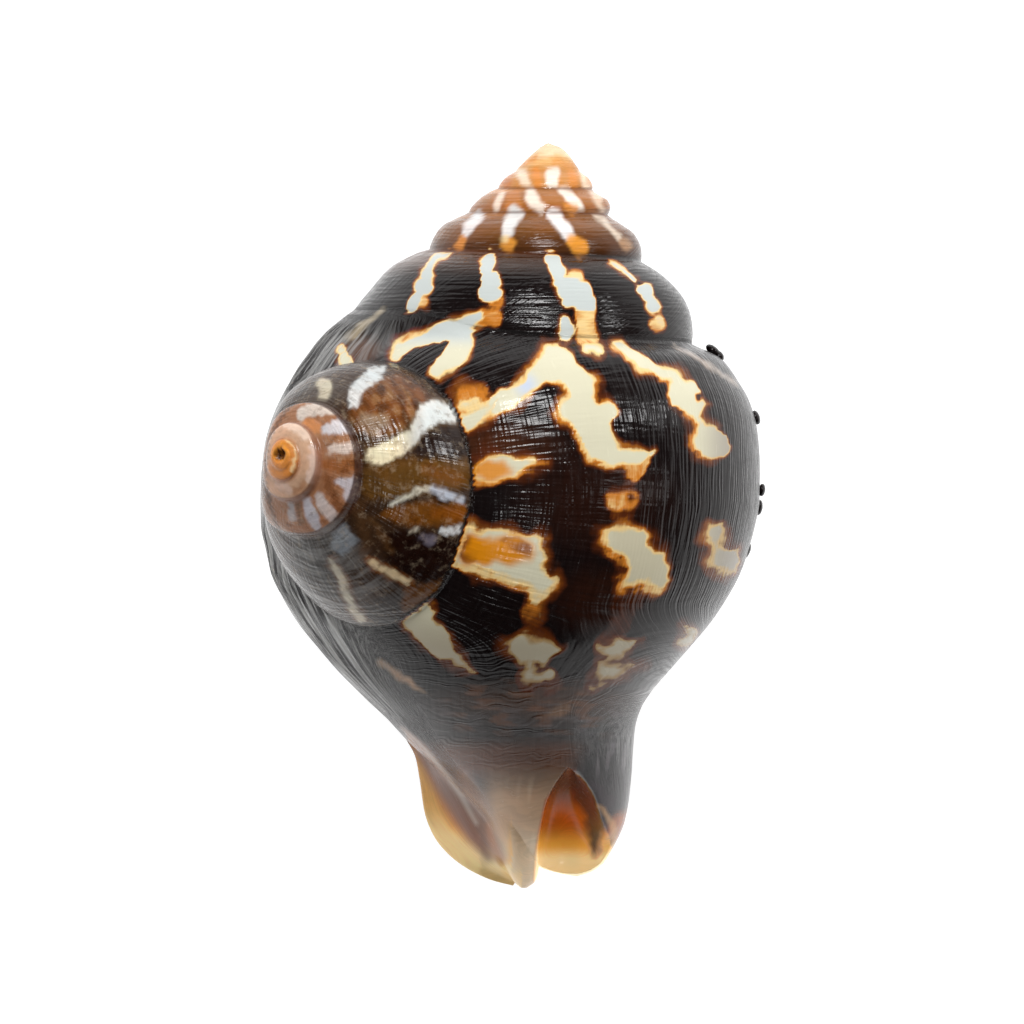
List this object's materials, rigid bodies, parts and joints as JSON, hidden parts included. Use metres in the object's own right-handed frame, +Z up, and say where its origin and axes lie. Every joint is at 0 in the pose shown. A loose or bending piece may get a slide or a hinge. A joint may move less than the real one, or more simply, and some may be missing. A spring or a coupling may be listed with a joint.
{
  "type": "double-spired sea snail shell",
  "caption": "Globose dark sea snail shell with cream flames, a pointed spire, a second spire budding from its shoulder and an open siphonal end, lying on its aperture.",
  "frame": {"origin": "centre of the shell's outline in X and Y, on the resting plane in Z", "axes": "+Y from the siphonal end to the main apex, +Z up, +X to the right seen from above with the main apex away from the viewer; the second spire leans to -X"},
  "size_m": [0.0314, 0.0462, 0.031],
  "materials": {
    "shell": "glossy, finely threaded, near-black with cream flames in orange halos; tan spire tips and amber lips"
  },
  "bodies": {
    "root": {"shell": "shell"}
  },
  "joints": []
}
